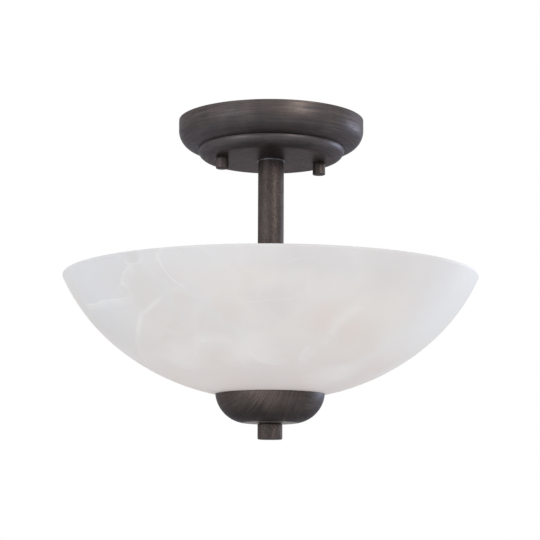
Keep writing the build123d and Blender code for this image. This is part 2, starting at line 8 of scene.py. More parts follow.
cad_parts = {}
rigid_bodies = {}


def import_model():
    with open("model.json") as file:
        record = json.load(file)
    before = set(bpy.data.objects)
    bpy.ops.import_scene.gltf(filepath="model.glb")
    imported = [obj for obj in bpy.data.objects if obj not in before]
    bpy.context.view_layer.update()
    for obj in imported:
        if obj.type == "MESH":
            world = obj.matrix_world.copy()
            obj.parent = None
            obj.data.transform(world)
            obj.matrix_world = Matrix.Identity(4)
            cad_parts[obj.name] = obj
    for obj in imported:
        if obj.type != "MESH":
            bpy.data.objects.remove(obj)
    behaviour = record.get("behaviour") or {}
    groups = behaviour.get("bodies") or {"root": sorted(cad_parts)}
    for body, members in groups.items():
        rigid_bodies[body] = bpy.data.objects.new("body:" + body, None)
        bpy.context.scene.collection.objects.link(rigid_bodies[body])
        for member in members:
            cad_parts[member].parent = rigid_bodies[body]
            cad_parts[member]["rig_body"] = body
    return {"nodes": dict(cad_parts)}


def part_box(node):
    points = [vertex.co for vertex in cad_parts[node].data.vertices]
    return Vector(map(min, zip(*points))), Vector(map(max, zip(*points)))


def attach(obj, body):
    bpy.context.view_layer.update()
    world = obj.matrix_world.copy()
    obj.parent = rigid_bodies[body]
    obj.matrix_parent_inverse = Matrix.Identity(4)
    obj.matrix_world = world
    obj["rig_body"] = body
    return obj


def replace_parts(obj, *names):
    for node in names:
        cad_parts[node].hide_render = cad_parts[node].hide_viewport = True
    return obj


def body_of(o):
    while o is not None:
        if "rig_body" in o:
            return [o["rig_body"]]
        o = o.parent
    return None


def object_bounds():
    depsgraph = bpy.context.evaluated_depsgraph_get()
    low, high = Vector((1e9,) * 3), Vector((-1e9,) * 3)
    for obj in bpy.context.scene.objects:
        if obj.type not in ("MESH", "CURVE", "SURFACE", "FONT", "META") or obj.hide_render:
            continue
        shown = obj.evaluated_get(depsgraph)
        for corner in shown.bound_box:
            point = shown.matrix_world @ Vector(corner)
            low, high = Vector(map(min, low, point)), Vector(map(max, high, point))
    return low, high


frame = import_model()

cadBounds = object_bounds()
nodes = frame["nodes"]
scene = bpy.context.scene
mm = 0.001


# Small helpers for writing shader trees
def addNode(tree, kind, **settings):
    node = tree.nodes.new(kind)
    for name, value in settings.items():
        setattr(node, name, value)
    return node


def feed(tree, value, socket):
    # a socket is linked, anything else is a plain value
    if isinstance(value, bpy.types.NodeSocket):
        tree.links.new(value, socket)
    elif value is not None:
        socket.default_value = value


def calc(tree, operation, first, second=None):
    node = addNode(tree, "ShaderNodeMath", operation=operation)
    for value, socket in zip((first, second), node.inputs):
        feed(tree, value, socket)
    return node.outputs[0]


def product(tree, first, second):
    return calc(tree, "MULTIPLY", first, second)


def blendOf(tree, first, second, share):
    # first and second mixed, share of the second
    rest = calc(tree, "SUBTRACT", 1.0, share)
    return calc(tree, "ADD", product(tree, first, rest), product(tree, second, share))


def vectorCalc(tree, operation, first, second=None, scale=None):
    node = addNode(tree, "ShaderNodeVectorMath", operation=operation)
    feed(tree, first, node.inputs[0])
    feed(tree, second, node.inputs[1])
    if scale is not None:
        feed(tree, scale, node.inputs["Scale"])
    numeric = operation in ("LENGTH", "DISTANCE", "DOT_PRODUCT")
    return node.outputs["Value" if numeric else "Vector"]


def softStep(tree, value, low, high, bottom=0.0, top=1.0):
    node = addNode(tree, "ShaderNodeMapRange", interpolation_type="SMOOTHSTEP")
    labels = ("Value", "From Min", "From Max", "To Min", "To Max")
    for label, number in zip(labels, (value, low, high, bottom, top)):
        feed(tree, number, node.inputs[label])
    return node.outputs["Result"]


def mixColor(tree, share, first, second):
    node = addNode(tree, "ShaderNodeMix", data_type="RGBA")
    feed(tree, share, node.inputs[0])
    for value, socket in ((first, node.inputs[6]), (second, node.inputs[7])):
        feed(tree, value if isinstance(value, bpy.types.NodeSocket) else (*value, 1.0), socket)
    return node.outputs[2]


def noise(tree, point, scale, detail=2.0, roughness=0.5, distortion=0.0):
    node = addNode(tree, "ShaderNodeTexNoise")
    labels = ("Vector", "Scale", "Detail", "Roughness", "Distortion")
    for label, value in zip(labels, (point, scale, detail, roughness, distortion)):
        feed(tree, value, node.inputs[label])
    return node.outputs["Fac"], node.outputs["Color"]


def splitVector(tree, vector):
    parts = addNode(tree, "ShaderNodeSeparateXYZ")
    tree.links.new(vector, parts.inputs[0])
    return parts.outputs


def joinVector(tree, x, y, z):
    parts = addNode(tree, "ShaderNodeCombineXYZ")
    for value, socket in zip((x, y, z), parts.inputs):
        feed(tree, value, socket)
    return parts.outputs[0]


def newGroup(name, inputs, outputs):
    tree = bpy.data.node_groups.new(name, "ShaderNodeTree")
    for label, kind, value in inputs:
        socket = tree.interface.new_socket(name=label, in_out="INPUT", socket_type="NodeSocket" + kind)
        if value is not None:
            socket.default_value = value
    for label, kind in outputs:
        tree.interface.new_socket(name=label, in_out="OUTPUT", socket_type="NodeSocket" + kind)
    return tree, addNode(tree, "NodeGroupInput").outputs, addNode(tree, "NodeGroupOutput").inputs


def useGroup(tree, group, **values):
    node = addNode(tree, "ShaderNodeGroup", node_tree=group)
    for name, value in values.items():
        feed(tree, value, node.inputs[name])
    return node.outputs


def newMaterial(name, **settings):
    material = bpy.data.materials.new(name)
    material.use_nodes = True
    tree = material.node_tree
    shader = tree.nodes["Principled BSDF"]
    for label, value in settings.items():
        shader.inputs[label.replace("_", " ")].default_value = value
    return material, tree, shader


def objectPoint(tree, center=(0, 0, 0)):
    # Object coordinates, measured from the middle of the piece
    point = addNode(tree, "ShaderNodeTexCoord").outputs["Object"]
    if not any(center):
        return point
    mapping = addNode(tree, "ShaderNodeMapping")
    mapping.inputs["Location"].default_value = [-c for c in center]
    tree.links.new(point, mapping.inputs["Vector"])
    return mapping.outputs["Vector"]


def bumpFrom(tree, shader, height, distance, strength, normal=None):
    bump = addNode(tree, "ShaderNodeBump")
    bump.inputs["Distance"].default_value = distance
    bump.inputs["Strength"].default_value = strength
    feed(tree, height, bump.inputs["Height"])
    feed(tree, normal, bump.inputs["Normal"])
    tree.links.new(bump.outputs["Normal"], shader.inputs["Normal"])


# Shared effects, as node groups
def buildTurnedBrushing():
    # Strokes round the Z axis: noise read at (cos, sin) of the angle, stretched, and at height plus
    # radius, squeezed, which keeps growing along a turned profile.
    tree, given, out = newGroup(
        "turnedBrushing",
        [("Point", "Vector", None), ("Around", "Float", 3.0), ("Across", "Float", 2500.0)],
        [("Stroke", "Float"), ("Broad", "Float")],
    )
    x, y, z = splitVector(tree, given["Point"])
    flat = joinVector(tree, x, y, 0.0)
    along = calc(tree, "ADD", z, vectorCalc(tree, "LENGTH", flat))
    cosine, sine = splitVector(tree, vectorCalc(tree, "NORMALIZE", flat))[:2]
    for share, label in ((1.0, "Stroke"), (0.22, "Broad")):
        around = product(tree, given["Around"], share)
        across = product(tree, given["Across"], share)
        spot = joinVector(tree, product(tree, cosine, around), product(tree, sine, around),
                          product(tree, along, across))
        feed(tree, noise(tree, spot, 1.0, detail=3.0, roughness=0.65)[0], out[label])
    return tree


def buildMottle():
    # a fine grain and a coarse cloud, drawn out along Z as Stretch falls below one
    tree, given, out = newGroup(
        "mottle",
        [("Point", "Vector", None), ("Stretch", "Float", 0.4), ("Grain", "Float", 1400.0),
         ("Cloud", "Float", 120.0)],
        [("Fine", "Float"), ("Coarse", "Float")],
    )
    x, y, z = splitVector(tree, given["Point"])
    spot = joinVector(tree, x, y, product(tree, z, given["Stretch"]))
    feed(tree, noise(tree, spot, given["Grain"], detail=3.0, roughness=0.7)[0], out["Fine"])
    feed(tree, noise(tree, spot, given["Cloud"], detail=4.0, roughness=0.6)[0], out["Coarse"])
    return tree


def buildEdgeWear():
    # the true normal and a rounded one differ only near an edge, and noise breaks the line up
    tree, given, out = newGroup(
        "edgeWear",
        [("Point", "Vector", None), ("Size", "Float", 0.0006), ("Breakup", "Float", 900.0)],
        [("Mask", "Float"), ("Normal", "Vector")],
    )
    bevel = addNode(tree, "ShaderNodeBevel", samples=6)
    tree.links.new(given["Size"], bevel.inputs["Radius"])
    plain = addNode(tree, "ShaderNodeNewGeometry")
    alike = vectorCalc(tree, "DOT_PRODUCT", bevel.outputs["Normal"], plain.outputs["Normal"])
    edge = softStep(tree, calc(tree, "SUBTRACT", 1.0, alike), 0.02, 0.16)
    speckle = noise(tree, given["Point"], given["Breakup"], detail=3.0)[0]
    broken = softStep(tree, speckle, 0.38, 0.62, 0.35, 1.0)
    feed(tree, product(tree, edge, broken), out["Mask"])
    feed(tree, bevel.outputs["Normal"], out["Normal"])
    return tree


def buildVein():
    # A thin line where the distance to a center equals the radius, kept only near the gate point. Inside
    # the line, milk fades out over the fold's width, or outside it where the fold is negative.
    tree, given, out = newGroup(
        "vein",
        [("Point", "Vector", None), ("Center", "Vector", None), ("Radius", "Float", 0.02),
         ("Width", "Float", 0.0006), ("Fold", "Float", 0.0), ("Gate", "Vector", None),
         ("Reach", "Float", 0.02)],
        [("Line", "Float")],
    )
    toCenter = vectorCalc(tree, "DISTANCE", given["Point"], given["Center"])
    away = calc(tree, "SUBTRACT", toCenter, given["Radius"])
    line = softStep(tree, calc(tree, "ABSOLUTE", away), 0.0, given["Width"], 1.0, 0.0)
    side = product(tree, away, calc(tree, "SIGN", given["Fold"]))
    halfWidth = product(tree, given["Width"], 0.5)
    edge = softStep(tree, side, product(tree, halfWidth, -1.0), halfWidth, 1.0, 0.0)
    depth = product(tree, calc(tree, "ABSOLUTE", given["Fold"]), -1.0)
    milk = product(tree, edge, softStep(tree, side, depth, 0.0, 0.0, 0.5))
    toGate = vectorCalc(tree, "DISTANCE", given["Point"], given["Gate"])
    near = softStep(tree, toGate, product(tree, given["Reach"], 0.7), given["Reach"], 1.0, 0.0)
    feed(tree, product(tree, calc(tree, "MAXIMUM", line, milk), near), out["Line"])
    return tree


def buildPatch():
    # a soft round patch about a point, whole in its inner tenth
    tree, given, out = newGroup(
        "patch",
        [("Point", "Vector", None), ("Center", "Vector", None), ("Size", "Float", 0.02)],
        [("Mask", "Float")],
    )
    away = vectorCalc(tree, "DISTANCE", given["Point"], given["Center"])
    core = product(tree, given["Size"], 0.1)
    feed(tree, softStep(tree, away, core, given["Size"], 1.0, 0.0), out["Mask"])
    return tree


turnedBrushing = buildTurnedBrushing()
mottle = buildMottle()
edgeWear = buildEdgeWear()
vein = buildVein()
patch = buildPatch()
print("shared shader groups built")

# Dark rubbed bronze, hand-brushed and lacquered
bronzeLook = {
    "dark": (0.046, 0.040, 0.040),
    "light": (0.122, 0.099, 0.091),
    "worn": (0.24, 0.20, 0.17),
    "wornShare": 0.4,
    "edgeTint": (0.62, 0.615, 0.65),
    "smooth": 0.36,
    "rough": 0.54,
}


def newBronze(name):
    return newMaterial(name, Metallic=1.0, Specular_Tint=(*bronzeLook["edgeTint"], 1.0))


def bronze(name, center=(0, 0, 0), strokes=0.8, around=3.0, across=2600.0, stretch=0.5,
           wear=0.0006, contrast=0.15, dull=0.0, grainSize=1300.0, dark=bronzeLook["dark"], paintedLightTints=()):
    # strokes is the share of brushing over grain; each tint is painted light: it multiplies the color below a
    # height, and comes with the heights in millimetres where it is full and where it starts
    material, tree, shader = newBronze(name)
    point = objectPoint(tree, center)
    brushed = useGroup(tree, turnedBrushing, Point=point, Around=around, Across=across)
    grain = useGroup(tree, mottle, Point=point, Stretch=stretch, Grain=grainSize, Cloud=90.0)
    edge = useGroup(tree, edgeWear, Point=point, Size=wear)
    fine = blendOf(tree, grain["Fine"], brushed["Stroke"], strokes)
    coarse = blendOf(tree, grain["Coarse"], brushed["Broad"], strokes * 0.6)
    tone = softStep(tree, blendOf(tree, fine, coarse, 0.4), 0.5 - contrast, 0.5 + contrast)
    color = mixColor(tree, tone, dark, bronzeLook["light"])
    # painted light: the color below a height is multiplied by a tint that stands for how light falls there
    for paintedTint, full, start in paintedLightTints:
        share = softStep(tree, splitVector(tree, point)[2], full * mm, start * mm, 1.0, 0.0)
        color = mixColor(tree, share, color, vectorCalc(tree, "MULTIPLY", color, paintedTint))
    worn = product(tree, edge["Mask"], bronzeLook["wornShare"])
    tree.links.new(mixColor(tree, worn, color, bronzeLook["worn"]), shader.inputs["Base Color"])
    roughest, smoothest = bronzeLook["rough"] + dull, bronzeLook["smooth"] + dull
    feed(tree, softStep(tree, fine, 0.3, 0.7, roughest, smoothest), shader.inputs["Roughness"])
    bumpFrom(tree, shader, fine, 0.00005, 0.5, edge["Normal"])
    return material


# The cap is buffed by hand in arcs about a point at its upper left, which give way to turning marks on the
# right. It has a painted highlight and a painted cool reflection as two lighter patches, is darker towards
# its foot in a painted shade, and is bare on the flat seat where the finial's washer turns. Places and
# lengths are in millimetres, turns in degrees.
capLook = {
    "arcCenter": (-41.5, -14.0, -205.0),
    "arcTurn": (90.0, 0.0, -16.2),
    "arcFlatness": 0.15,
    "arcFade": (54.0, 70.0),
    "brushShare": 0.7,
    "contrast": 0.16,
    # turn and height of the middle, size, strength between strokes and on them, color; the first is a painted
    # highlight from the front lamp, the second a painted reflection of the cool lamp on the right
    "patches": [
        ((-24, -218), 21.0, 0.05, 0.6, (0.24, 0.195, 0.172)),
        ((56, -218), 27.0, 0.5, 0.8, (0.145, 0.142, 0.163)),
    ],
    # painted shade: the cap is darker towards its foot, which faces down
    "shadeTop": -226.0,
    "shadeBottom": -240.0,
    "shade": 0.5,
    "bare": (0.17, 0.155, 0.145),
    "seatRise": 0.2,
}


def capBronze():
    look = capLook
    material, tree, shader = newBronze("capBronze")
    point = objectPoint(tree)
    # the arcs are turning marks about a level axis that points forward and to the left, drawn out along it
    turned = addNode(tree, "ShaderNodeMapping", vector_type="TEXTURE")
    turned.inputs["Location"].default_value = [c * mm for c in look["arcCenter"]]
    turned.inputs["Rotation"].default_value = [math.radians(a) for a in look["arcTurn"]]
    tree.links.new(point, turned.inputs["Vector"])
    x, y, depth = splitVector(tree, turned.outputs["Vector"])
    arcPoint = joinVector(tree, x, y, product(tree, depth, look["arcFlatness"]))
    arcs = useGroup(tree, turnedBrushing, Point=arcPoint, Around=2.4, Across=3000.0)
    rings = useGroup(tree, turnedBrushing, Point=point, Around=3.0, Across=2600.0)
    fadeStart, fadeEnd = look["arcFade"]
    ringShare = softStep(tree, x, fadeStart * mm, fadeEnd * mm)
    stroke = blendOf(tree, arcs["Stroke"], rings["Stroke"], ringShare)
    broad = blendOf(tree, arcs["Broad"], rings["Broad"], ringShare)
    grain = useGroup(tree, mottle, Point=point, Stretch=0.8, Grain=1500.0, Cloud=80.0)
    edge = useGroup(tree, edgeWear, Point=point, Size=0.0006)
    fine = blendOf(tree, grain["Fine"], stroke, look["brushShare"])
    coarse = blendOf(tree, grain["Coarse"], broad, 0.4)
    tone = softStep(tree, blendOf(tree, fine, coarse, 0.35), 0.5 - look["contrast"], 0.5 + look["contrast"])
    color = mixColor(tree, tone, bronzeLook["dark"], bronzeLook["light"])
    low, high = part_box("bottom_cap")
    # painted highlight and painted cool reflection: the two patches lighten the color
    for (turn, level), size, between, onStroke, paintedTint in look["patches"]:
        turn = math.radians(turn)
        place = (high.x * math.sin(turn), -high.x * math.cos(turn), level * mm)
        spot = useGroup(tree, patch, Point=point, Center=place, Size=size * mm)
        share = product(tree, spot["Mask"], softStep(tree, fine, 0.38, 0.6, between, onStroke))
        color = mixColor(tree, share, color, paintedTint)
    # painted shade: the color darkens towards the cap's foot
    height = splitVector(tree, point)[2]
    shade = softStep(tree, height, look["shadeBottom"] * mm, look["shadeTop"] * mm, look["shade"], 1.0)
    color = vectorCalc(tree, "SCALE", color, scale=shade)
    worn = product(tree, edge["Mask"], bronzeLook["wornShare"])
    color = mixColor(tree, worn, color, bronzeLook["worn"])
    rise = look["seatRise"] * mm
    bare = softStep(tree, height, low.z + rise, low.z + 2 * rise, 1.0, 0.0)
    tree.links.new(mixColor(tree, bare, color, look["bare"]), shader.inputs["Base Color"])
    # the bare seat keeps its shine at a glancing view, where the bronze is dimmer
    edgeTint = mixColor(tree, bare, bronzeLook["edgeTint"], (1.0, 1.0, 1.0))
    tree.links.new(edgeTint, shader.inputs["Specular Tint"])
    roughness = softStep(tree, fine, 0.3, 0.7, bronzeLook["rough"], bronzeLook["smooth"])
    tree.links.new(roughness, shader.inputs["Roughness"])
    bumpFrom(tree, shader, fine, 0.00006, 0.6, edge["Normal"])
    return material


def plated(name, bright, dull, roughness):
    # bright plated or drawn metal with cloudy passivation and a fine grain
    material, tree, shader = newMaterial(name, Metallic=1.0)
    point = objectPoint(tree)
    grain = useGroup(tree, mottle, Point=point, Stretch=0.7, Grain=900.0, Cloud=160.0)
    edge = useGroup(tree, edgeWear, Point=point, Size=0.0004)
    cloud = softStep(tree, grain["Coarse"], 0.35, 0.68)
    tree.links.new(mixColor(tree, cloud, bright, dull), shader.inputs["Base Color"])
    shine = softStep(tree, grain["Fine"], 0.3, 0.7, roughness - 0.07, roughness + 0.1)
    tree.links.new(shine, shader.inputs["Roughness"])
    bumpFrom(tree, shader, grain["Fine"], 0.00003, 0.4, edge["Normal"])
    return material


def molded(name, color, clouded, roughness, grainSize=1200.0, bumpHeight=0.00005):
    # moulded plastic, rubber, insulation or bulb glass: two close tones and a fine skin texture
    material, tree, shader = newMaterial(name)
    point = objectPoint(tree)
    grain = useGroup(tree, mottle, Point=point, Stretch=1.0, Grain=grainSize, Cloud=140.0)
    edge = useGroup(tree, edgeWear, Point=point, Size=0.0004)
    cloud = softStep(tree, grain["Coarse"], 0.32, 0.7)
    tree.links.new(mixColor(tree, cloud, color, clouded), shader.inputs["Base Color"])
    shine = softStep(tree, grain["Fine"], 0.3, 0.7, roughness - 0.06, roughness + 0.08)
    tree.links.new(shine, shader.inputs["Roughness"])
    bumpFrom(tree, shader, grain["Fine"], bumpHeight, 0.5, edge["Normal"])
    return material


# Alabaster glass. Every place is a turn about the bowl, 0 at the front and rising to the right in
# degrees, and a height in millimetres on the outside.
alabasterLook = {
    "milk": (0.75, 0.726, 0.708),
    "cool": (0.74, 0.75, 0.782),
    # a grey tone, for the glass's own darker clouding and for painted shade
    "shade": (0.655, 0.64, 0.645),
    "pink": (0.72, 0.615, 0.58),
    "light": (0.85, 0.845, 0.84),
    # three stops, width and fold in millimetres, strength
    "veins": [
        ([(-46, -134), (-44, -145), (-40, -153)], 0.8, 0.0, 1.0),
        ([(-47, -136), (-46, -132), (-44, -128)], 3.0, 0.0, 0.3),
        ([(-57, -133), (-55, -137), (-51, -135)], 2.0, 0.0, 0.5),
        ([(-55, -137), (-59, -142), (-62, -148)], 1.5, 12.0, 0.7),
        ([(-62, -148), (-60, -152), (-62, -157)], 1.8, -9.0, 0.35),
        ([(-62, -157), (-71, -157), (-88, -156)], 1.2, 9.0, 0.8),
        ([(-40, -152), (-45, -155), (-51, -161)], 3.0, 0.0, 0.16),
        ([(-51, -161), (-60, -170), (-69, -181)], 3.0, 0.0, 0.5),
        ([(-69, -181), (-79, -190), (-90, -199)], 3.0, 0.0, 0.2),
        ([(-37, -165), (-40, -173), (-43, -182)], 6.0, 0.0, 0.16),
        ([(-48, -197), (-39, -189), (-32, -191)], 3.4, -16.0, 0.32),
        ([(-32, -162), (-22, -165), (-10, -163)], 0.8, 0.0, 0.25),
        ([(12, -167), (8, -174), (6, -185)], 6.5, -12.0, 0.26),
        ([(5, -189), (1, -197), (1, -207)], 5.0, 0.0, 0.16),
        ([(-1, -192), (-2, -197), (-2, -202)], 3.6, 0.0, 0.26),
        ([(-25, -198), (-19, -203), (-8, -204)], 1.4, 8.0, 0.36),
        ([(-12, -139), (-7, -136), (-2, -134)], 0.6, 0.0, 0.25),
        ([(12, -158), (16, -156), (20, -155)], 0.9, 0.0, 0.2),
        ([(70, -140), (82, -160), (88, -186)], 2.4, 12.0, 0.4),
        ([(118, -136), (126, -150), (142, -156)], 1.0, 0.0, 0.6),
        ([(150, -150), (158, -172), (152, -198)], 3.2, -12.0, 0.35),
        ([(-128, -134), (-140, -152), (-136, -176)], 1.3, 10.0, 0.5),
        ([(-168, -140), (178, -158), (-176, -184)], 3.2, 0.0, 0.3),
    ],
    # stop, size in millimetres, strength, tone; the shade, light and cool patches are painted shade, painted
    # light and painted cool light, and the pink ones are the glass's own tint
    "patches": [
        ((-43, -165), 13.0, 0.22, "pink"),
        ((-52, -175), 13.0, 0.22, "pink"),
        ((-57, -185), 12.0, 0.2, "pink"),
        ((-29, -169), 16.0, 0.22, "pink"),
        ((-40, -177), 13.0, 0.15, "pink"),
        ((-15, -164), 26.0, 0.25, "pink"),
        ((-15, -164), 26.0, 0.3, "shade"),
        ((1, -172), 24.0, 0.36, "pink"),
        ((14, -183), 24.0, 0.34, "pink"),
        ((24, -187), 18.0, 0.22, "pink"),
        ((48, -202), 20.0, 0.35, "pink"),
        ((-36, -200), 18.0, 0.28, "pink"),
        ((96, -168), 26.0, 0.3, "pink"),
        ((134, -184), 28.0, 0.3, "pink"),
        ((-150, -164), 26.0, 0.3, "pink"),
        ((-108, -178), 24.0, 0.26, "pink"),
        ((-1, -138), 28.0, 0.5, "shade"),
        ((-18, -134), 22.0, 0.25, "shade"),
        ((16, -136), 46.0, 0.55, "shade"),
        ((36, -138), 50.0, 0.7, "shade"),
        ((62, -150), 50.0, 0.3, "shade"),
        ((72, -138), 40.0, 0.6, "shade"),
        ((-84, -168), 48.0, 0.6, "shade"),
        ((-60, -192), 26.0, 0.1, "shade"),
        ((-54, -132), 12.0, 0.4, "shade"),
        ((-40, -196), 12.0, 0.15, "shade"),
        ((-68, -188), 22.0, 0.15, "shade"),
        ((170, -142), 40.0, 0.4, "shade"),
        ((-42, -190), 20.0, 0.3, "light"),
        ((-16, -214), 30.0, 0.2, "shade"),
        ((-9, -136), 28.0, 0.6, "shade"),
        ((-26, -197), 32.0, 0.45, "light"),
        ((24, -211), 30.0, 0.4, "light"),
        ((-58, -199), 30.0, 0.4, "light"),
        ((-75, -150), 62.0, 0.75, "cool"),
        ((48, -152), 70.0, 0.65, "cool"),
        ((120, -150), 50.0, 0.5, "cool"),
        ((-150, -140), 50.0, 0.5, "cool"),
    ],
    # how far noise pushes the veins and the patches about, in millimetres, and that noise's scale
    "veinDrift": (9.0, 32.0),
    "patchDrift": (34.0, 42.0),
    "cloudScale": 14.0,
    "cloudShare": 0.35,
    "shadeScale": 9.0,
    "shadeShare": 0.2,
    "wispScale": 12.0,
    "wispShare": 0.1,
    "rim": (0.70, 0.705, 0.72),
    # in millimetres: the heights where the pink painted shade of the bottom is full and where it ends, the
    # depths below the rim where the cool tone starts and is full, and the depth of the painted shade on the
    # rim
    "pinkShadeRun": (-222.0, -180.0),
    "pinkShadeShare": 0.5,
    "coolRun": (20.0, 4.0),
    "coolShare": 0.45,
    "rimRun": 2.4,
    "rimShare": 0.8,
}


def outsideOfBowl():
    # radius against height on the outer skin, where the normals lean outward and down
    mesh = nodes["glass_bowl"].data
    spots = np.empty(len(mesh.vertices) * 3)
    leans = np.empty(len(mesh.vertices) * 3)
    mesh.vertices.foreach_get("co", spots)
    mesh.vertices.foreach_get("normal", leans)
    spots = spots.reshape(-1, 3)
    leans = leans.reshape(-1, 3)
    radii = np.hypot(spots[:, 0], spots[:, 1])
    outward = (leans[:, 0] * spots[:, 0] + leans[:, 1] * spots[:, 1]) / radii - leans[:, 2]
    heights, first = np.unique(np.round(spots[outward > 0.9, 2], 6), return_index=True)
    return heights, radii[outward > 0.9][first]


def onBowl(turn, height):
    # (r sin turn, -r cos turn, height), r read from the skin
    turn = math.radians(turn)
    radius = np.interp(height * mm, *bowlSkin)
    return np.array([radius * math.sin(turn), -radius * math.cos(turn), height * mm])


def arcThrough(stops):
    # The sphere through the three stops P whose center C lies in the glass's tangent plane at the middle
    # one, M: |P - C| is the same for all three, and (C - M) . n = 0
    start, middleStop, end = (onBowl(*stop) for stop in stops)
    turn, height = stops[1]
    across = onBowl(turn + 1, height) - onBowl(turn - 1, height)
    upward = onBowl(turn, height + 1) - onBowl(turn, height - 1)
    rows = np.array([start - middleStop, end - middleStop, np.cross(across, upward)])
    sides = [(start @ start - middleStop @ middleStop) / 2, (end @ end - middleStop @ middleStop) / 2,
             rows[2] @ middleStop]
    center = np.linalg.solve(rows, sides)
    radius = np.linalg.norm(center - middleStop)
    return center, radius, (start + end) / 2, np.linalg.norm(end - start) / 2


def drifted(tree, point, drift, detail):
    # the point pushed about by noise, seldom by more than a fifth of the reach
    reach, scale = drift
    push = vectorCalc(tree, "SUBTRACT", noise(tree, point, scale, detail=detail)[1], (0.5, 0.5, 0.5))
    return vectorCalc(tree, "ADD", point, vectorCalc(tree, "SCALE", push, scale=reach * mm))


def alabaster(name):
    look = alabasterLook
    material, tree, shader = newMaterial(name, Roughness=0.5, IOR=1.4, Specular_IOR_Level=0.3,
                                         Subsurface_Weight=0.3, Subsurface_Radius=(1.0, 0.85, 0.75),
                                         Subsurface_Scale=0.004)
    point = objectPoint(tree)
    veinPoint = drifted(tree, point, look["veinDrift"], 2.0)
    patchPoint = drifted(tree, point, look["patchDrift"], 3.0)
    cloud = noise(tree, patchPoint, look["cloudScale"], detail=4.0, distortion=0.8)[0]
    cloud = softStep(tree, cloud, 0.36, 0.66)
    color = mixColor(tree, product(tree, cloud, look["cloudShare"]), look["milk"], look["cool"])
    dusk = noise(tree, patchPoint, look["shadeScale"], detail=3.0, distortion=1.6)[0]
    dusk = softStep(tree, dusk, 0.45, 0.72)
    color = mixColor(tree, product(tree, dusk, look["shadeShare"]), color, look["shade"])
    # a painted shade makes the glass pinker and darker towards the bottom of the bowl, near the cap; it is
    # cooler towards its rim, and a painted shade greys the rim itself
    height = splitVector(tree, point)[2]
    # painted shade near the cap, in pink
    pinkFull, pinkStart = look["pinkShadeRun"]
    share = softStep(tree, height, pinkFull * mm, pinkStart * mm, look["pinkShadeShare"], 0.0)
    color = mixColor(tree, share, color, look["pink"])
    rimHeight = bowlSkin[0][-1]
    coolStart, coolFull = (rimHeight - depth * mm for depth in look["coolRun"])
    share = softStep(tree, height, coolStart, coolFull, 0.0, look["coolShare"])
    color = mixColor(tree, share, color, look["cool"])
    # painted shade: the rim is greyed where its edge is seen
    share = softStep(tree, height, rimHeight - look["rimRun"] * mm, rimHeight, 0.0, look["rimShare"])
    color = mixColor(tree, share, color, look["rim"])
    # wisps run where a distorted noise crosses its middle value, and only where there is cloud
    ridge = calc(tree, "SUBTRACT", noise(tree, veinPoint, look["wispScale"], 1.0, 0.5, 0.7)[0], 0.5)
    wisp = softStep(tree, calc(tree, "ABSOLUTE", ridge), 0.0, 0.05, 1.0, 0.0)
    wisp = product(tree, wisp, softStep(tree, cloud, 0.1, 0.9))
    color = mixColor(tree, product(tree, wisp, look["wispShare"]), color, look["light"])
    # painted shade, painted light and painted cool light in patches, with the glass's own pink
    for stop, size, strength, tone in look["patches"]:
        spot = useGroup(tree, patch, Point=patchPoint, Center=onBowl(*stop), Size=size * mm)
        color = mixColor(tree, product(tree, spot["Mask"], strength), color, look[tone])
    # veins fade in and out along their length
    fading = softStep(tree, noise(tree, point, 60.0, detail=2.0)[0], 0.34, 0.56, 0.35, 1.0)
    for stops, width, fold, strength in look["veins"]:
        center, radius, gate, reach = arcThrough(stops)
        line = useGroup(tree, vein, Point=veinPoint, Center=center, Radius=radius, Width=width * mm,
                        Fold=fold * mm, Gate=gate, Reach=reach * 1.25)
        share = product(tree, product(tree, line["Line"], fading), strength)
        color = mixColor(tree, share, color, look["light"])
    tree.links.new(color, shader.inputs["Base Color"])
    bumpFrom(tree, shader, noise(tree, patchPoint, 40.0)[0], 0.0005, 0.2)
    return material


bowlSkin = outsideOfBowl()


def middle(name):
    low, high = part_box(name)
    return (low + high) / 2


